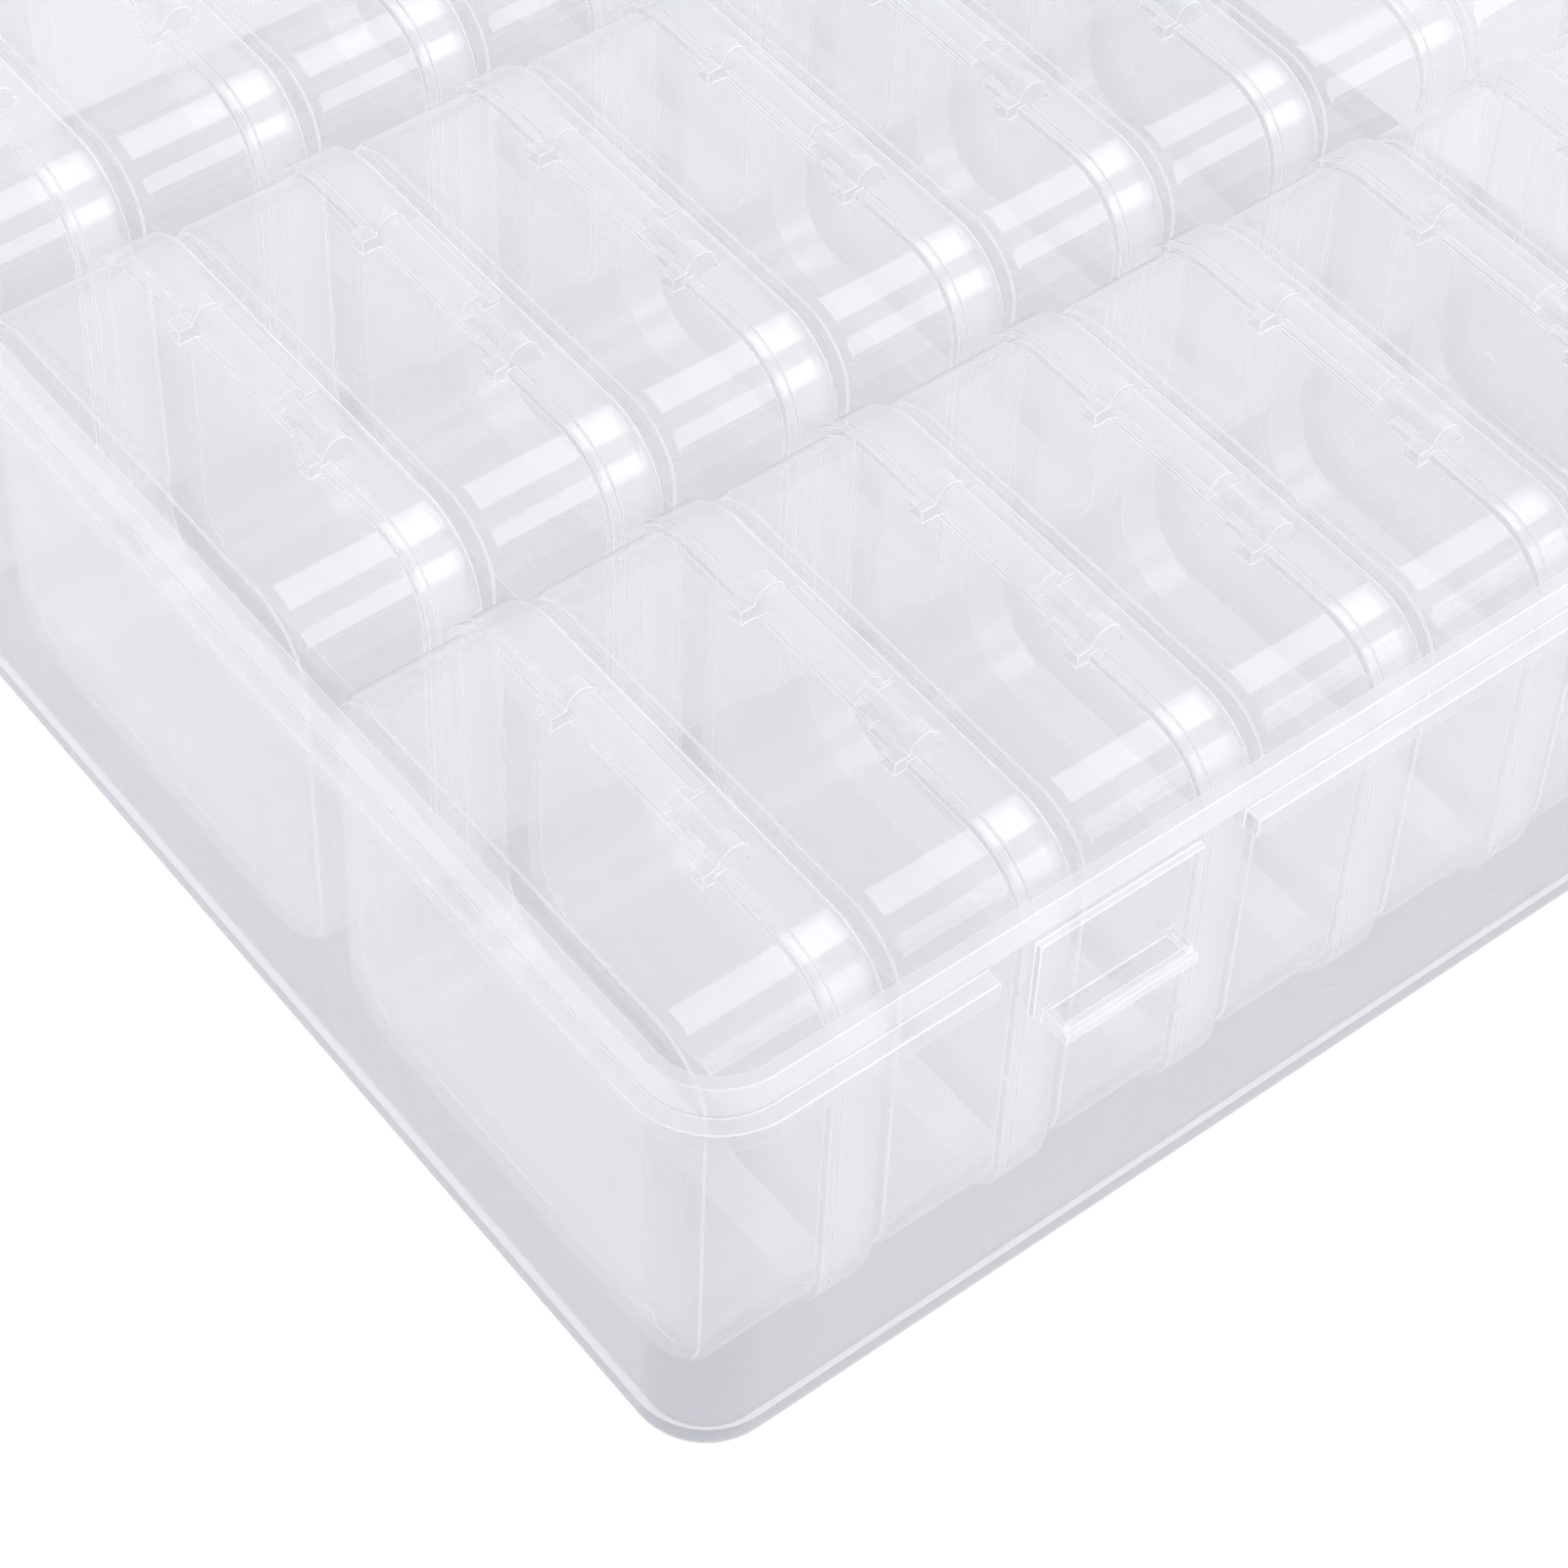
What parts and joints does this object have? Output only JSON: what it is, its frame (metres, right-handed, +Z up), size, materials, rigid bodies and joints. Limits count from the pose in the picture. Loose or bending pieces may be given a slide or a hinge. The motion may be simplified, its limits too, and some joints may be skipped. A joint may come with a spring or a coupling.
{
  "type": "individual lid bead organizer",
  "caption": "Clear storage case with a hinged, latched lid, packed with small flip-lid containers that stand on edge, hinge side up.",
  "frame": {"origin": "middle of the tray's underside, on the table", "axes": "+X along the latch wall to the right, +Y to the back where the case lid is hinged, +Z up"},
  "size_m": [0.1968, 0.2778, 0.2702],
  "materials": {
    "tray": "clear, faintly frosted polypropylene",
    "case_lid": "clear, faintly frosted polypropylene",
    "latch": "clear, faintly frosted polypropylene",
    "container": "clear polypropylene, glossy",
    "flip_lid": "clear polypropylene, glossy"
  },
  "bodies": {
    "tray": {"tray": "tray"},
    "case_lid": {"case_lid": "case_lid"},
    "latch_left": {"latch_left": "latch"},
    "latch_right": {"latch_right": "latch"},
    "container_11": {"base_11": "container", "flip_lid_11": "flip_lid"},
    "container_12": {"base_12": "container", "flip_lid_12": "flip_lid"},
    "container_13": {"base_13": "container", "flip_lid_13": "flip_lid"},
    "container_14": {"base_14": "container", "flip_lid_14": "flip_lid"},
    "container_15": {"base_15": "container", "flip_lid_15": "flip_lid"},
    "container_16": {"base_16": "container", "flip_lid_16": "flip_lid"},
    "container_17": {"base_17": "container", "flip_lid_17": "flip_lid"},
    "container_18": {"base_18": "container", "flip_lid_18": "flip_lid"},
    "container_21": {"base_21": "container", "flip_lid_21": "flip_lid"},
    "container_22": {"base_22": "container", "flip_lid_22": "flip_lid"},
    "container_23": {"base_23": "container", "flip_lid_23": "flip_lid"},
    "container_24": {"base_24": "container", "flip_lid_24": "flip_lid"},
    "container_25": {"base_25": "container", "flip_lid_25": "flip_lid"},
    "container_26": {"base_26": "container", "flip_lid_26": "flip_lid"},
    "container_27": {"base_27": "container", "flip_lid_27": "flip_lid"},
    "container_28": {"base_28": "container", "flip_lid_28": "flip_lid"},
    "container_31": {"base_31": "container", "flip_lid_31": "flip_lid"},
    "container_32": {"base_32": "container", "flip_lid_32": "flip_lid"},
    "container_33": {"base_33": "container", "flip_lid_33": "flip_lid"},
    "container_34": {"base_34": "container", "flip_lid_34": "flip_lid"},
    "container_35": {"base_35": "container", "flip_lid_35": "flip_lid"},
    "container_36": {"base_36": "container", "flip_lid_36": "flip_lid"},
    "container_37": {"base_37": "container", "flip_lid_37": "flip_lid"},
    "container_38": {"base_38": "container", "flip_lid_38": "flip_lid"}
  },
  "joints": [
    {"name": "case_lid_swing", "type": "hinge", "parent": "tray", "child": "case_lid", "pos_m": [0, 0.1082, 0.0554], "axis": [-1, 0, 0], "range_deg": [-105, 0]},
    {"name": "latch_left_flip", "type": "hinge", "parent": "case_lid", "child": "latch_left", "pos_m": [-0.047, 0.16956, 0.26123], "axis": [-1, 0, 0], "range_deg": [0, 100]},
    {"name": "latch_right_flip", "type": "hinge", "parent": "case_lid", "child": "latch_right", "pos_m": [0.047, 0.16956, 0.26123], "axis": [-1, 0, 0], "range_deg": [0, 100]},
    {"name": "lift_11", "type": "slide", "parent": "tray", "child": "container_11", "axis": [0, 0, 1], "range_m": [0, 0.06]},
    {"name": "lift_12", "type": "slide", "parent": "tray", "child": "container_12", "axis": [0, 0, 1], "range_m": [0, 0.06]},
    {"name": "lift_13", "type": "slide", "parent": "tray", "child": "container_13", "axis": [0, 0, 1], "range_m": [0, 0.06]},
    {"name": "lift_14", "type": "slide", "parent": "tray", "child": "container_14", "axis": [0, 0, 1], "range_m": [0, 0.06]},
    {"name": "lift_15", "type": "slide", "parent": "tray", "child": "container_15", "axis": [0, 0, 1], "range_m": [0, 0.06]},
    {"name": "lift_16", "type": "slide", "parent": "tray", "child": "container_16", "axis": [0, 0, 1], "range_m": [0, 0.06]},
    {"name": "lift_17", "type": "slide", "parent": "tray", "child": "container_17", "axis": [0, 0, 1], "range_m": [0, 0.06]},
    {"name": "lift_18", "type": "slide", "parent": "tray", "child": "container_18", "axis": [0, 0, 1], "range_m": [0, 0.06]},
    {"name": "lift_21", "type": "slide", "parent": "tray", "child": "container_21", "axis": [0, 0, 1], "range_m": [0, 0.06]},
    {"name": "lift_22", "type": "slide", "parent": "tray", "child": "container_22", "axis": [0, 0, 1], "range_m": [0, 0.06]},
    {"name": "lift_23", "type": "slide", "parent": "tray", "child": "container_23", "axis": [0, 0, 1], "range_m": [0, 0.06]},
    {"name": "lift_24", "type": "slide", "parent": "tray", "child": "container_24", "axis": [0, 0, 1], "range_m": [0, 0.06]},
    {"name": "lift_25", "type": "slide", "parent": "tray", "child": "container_25", "axis": [0, 0, 1], "range_m": [0, 0.06]},
    {"name": "lift_26", "type": "slide", "parent": "tray", "child": "container_26", "axis": [0, 0, 1], "range_m": [0, 0.06]},
    {"name": "lift_27", "type": "slide", "parent": "tray", "child": "container_27", "axis": [0, 0, 1], "range_m": [0, 0.06]},
    {"name": "lift_28", "type": "slide", "parent": "tray", "child": "container_28", "axis": [0, 0, 1], "range_m": [0, 0.06]},
    {"name": "lift_31", "type": "slide", "parent": "tray", "child": "container_31", "axis": [0, 0, 1], "range_m": [0, 0.06]},
    {"name": "lift_32", "type": "slide", "parent": "tray", "child": "container_32", "axis": [0, 0, 1], "range_m": [0, 0.06]},
    {"name": "lift_33", "type": "slide", "parent": "tray", "child": "container_33", "axis": [0, 0, 1], "range_m": [0, 0.06]},
    {"name": "lift_34", "type": "slide", "parent": "tray", "child": "container_34", "axis": [0, 0, 1], "range_m": [0, 0.06]},
    {"name": "lift_35", "type": "slide", "parent": "tray", "child": "container_35", "axis": [0, 0, 1], "range_m": [0, 0.06]},
    {"name": "lift_36", "type": "slide", "parent": "tray", "child": "container_36", "axis": [0, 0, 1], "range_m": [0, 0.06]},
    {"name": "lift_37", "type": "slide", "parent": "tray", "child": "container_37", "axis": [0, 0, 1], "range_m": [0, 0.06]},
    {"name": "lift_38", "type": "slide", "parent": "tray", "child": "container_38", "axis": [0, 0, 1], "range_m": [0, 0.06]}
  ]
}
